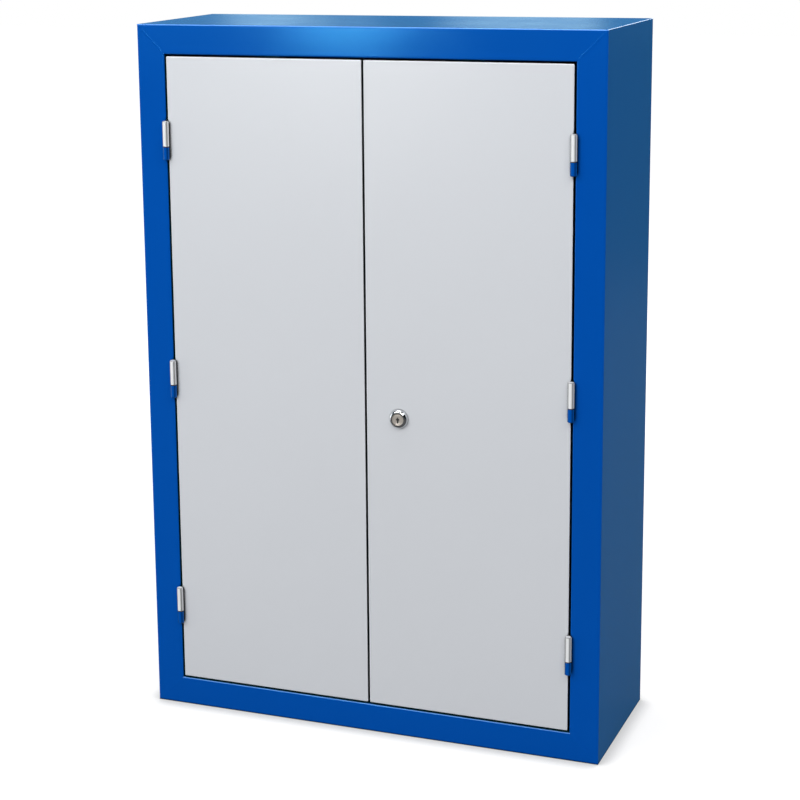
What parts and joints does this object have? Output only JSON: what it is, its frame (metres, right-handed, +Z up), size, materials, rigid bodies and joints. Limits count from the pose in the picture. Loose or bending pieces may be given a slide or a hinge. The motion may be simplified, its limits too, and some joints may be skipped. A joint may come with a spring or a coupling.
{
  "type": "tool cabinet with doors",
  "caption": "Upright sheet-steel tool cabinet with hinged doors set flush in a folded frame, a cam lock, slide bolts, shelves and a perforated tool board.",
  "frame": {"origin": "middle of the underside that the cabinet stands on", "axes": "+X to the right seen from the front, +Y from the front to the back, +Z up"},
  "size_m": [0.672, 0.2543, 1],
  "materials": {
    "blue_paint": "satin powder coat",
    "grey_paint": "satin powder coat",
    "zinc_steel": "zinc plated",
    "brass": "plain",
    "rubber": "matte",
    "chrome": "polished chrome plate",
    "nickel": "satin nickel plate",
    "black_plastic": "fine grain"
  },
  "bodies": {
    "carcass": {"left_side": "blue_paint", "right_side": "blue_paint", "top_panel": "blue_paint", "bottom_panel": "blue_paint", "back_panel": "blue_paint", "frame_knuckles": "blue_paint", "hinge_pins": "zinc_steel", "hinge_washers": "brass", "door_stops": "blue_paint", "door_buffers": "rubber", "shelf_uprights": "zinc_steel", "shelf_clips": "zinc_steel", "lower_shelf": "grey_paint", "middle_shelf": "grey_paint", "upper_shelf": "grey_paint", "tool_board": "grey_paint", "board_spacers": "zinc_steel", "board_screws": "zinc_steel"},
    "left_door": {"left_door_panel": "grey_paint", "left_door_stiffener": "grey_paint", "left_door_knuckles": "grey_paint", "bolt_guides": "grey_paint"},
    "right_door": {"right_door_panel": "grey_paint", "right_door_stiffener": "grey_paint", "right_door_knuckles": "grey_paint", "lock_housing": "chrome", "lock_nut": "zinc_steel"},
    "lock_rotor": {"lock_plug": "nickel", "lock_cam": "zinc_steel", "cam_washer": "zinc_steel", "cam_screw": "zinc_steel"},
    "top_bolt_slider": {"top_bolt": "zinc_steel", "top_bolt_knob": "black_plastic"},
    "bottom_bolt_slider": {"bottom_bolt": "zinc_steel", "bottom_bolt_knob": "black_plastic"}
  },
  "joints": [
    {"name": "left_door_hinge", "type": "hinge", "parent": "carcass", "child": "left_door", "pos_m": [-0.2935, -0.1273, 0.5], "axis": [0, 0, -1], "range_deg": [0, 180]},
    {"name": "right_door_hinge", "type": "hinge", "parent": "carcass", "child": "right_door", "pos_m": [0.2935, -0.1273, 0.5], "axis": [0, 0, 1], "range_deg": [0, 180]},
    {"name": "lock_turn", "type": "hinge", "parent": "right_door", "child": "lock_rotor", "pos_m": [0.049, -0.1225, 0.466], "axis": [0, 1, 0], "range_deg": [0, 90]},
    {"name": "top_bolt_slide", "type": "slide", "parent": "left_door", "child": "top_bolt_slider", "axis": [0, 0, 1], "range_m": [0, 0.014]},
    {"name": "bottom_bolt_slide", "type": "slide", "parent": "left_door", "child": "bottom_bolt_slider", "axis": [0, 0, -1], "range_m": [0, 0.014]}
  ]
}
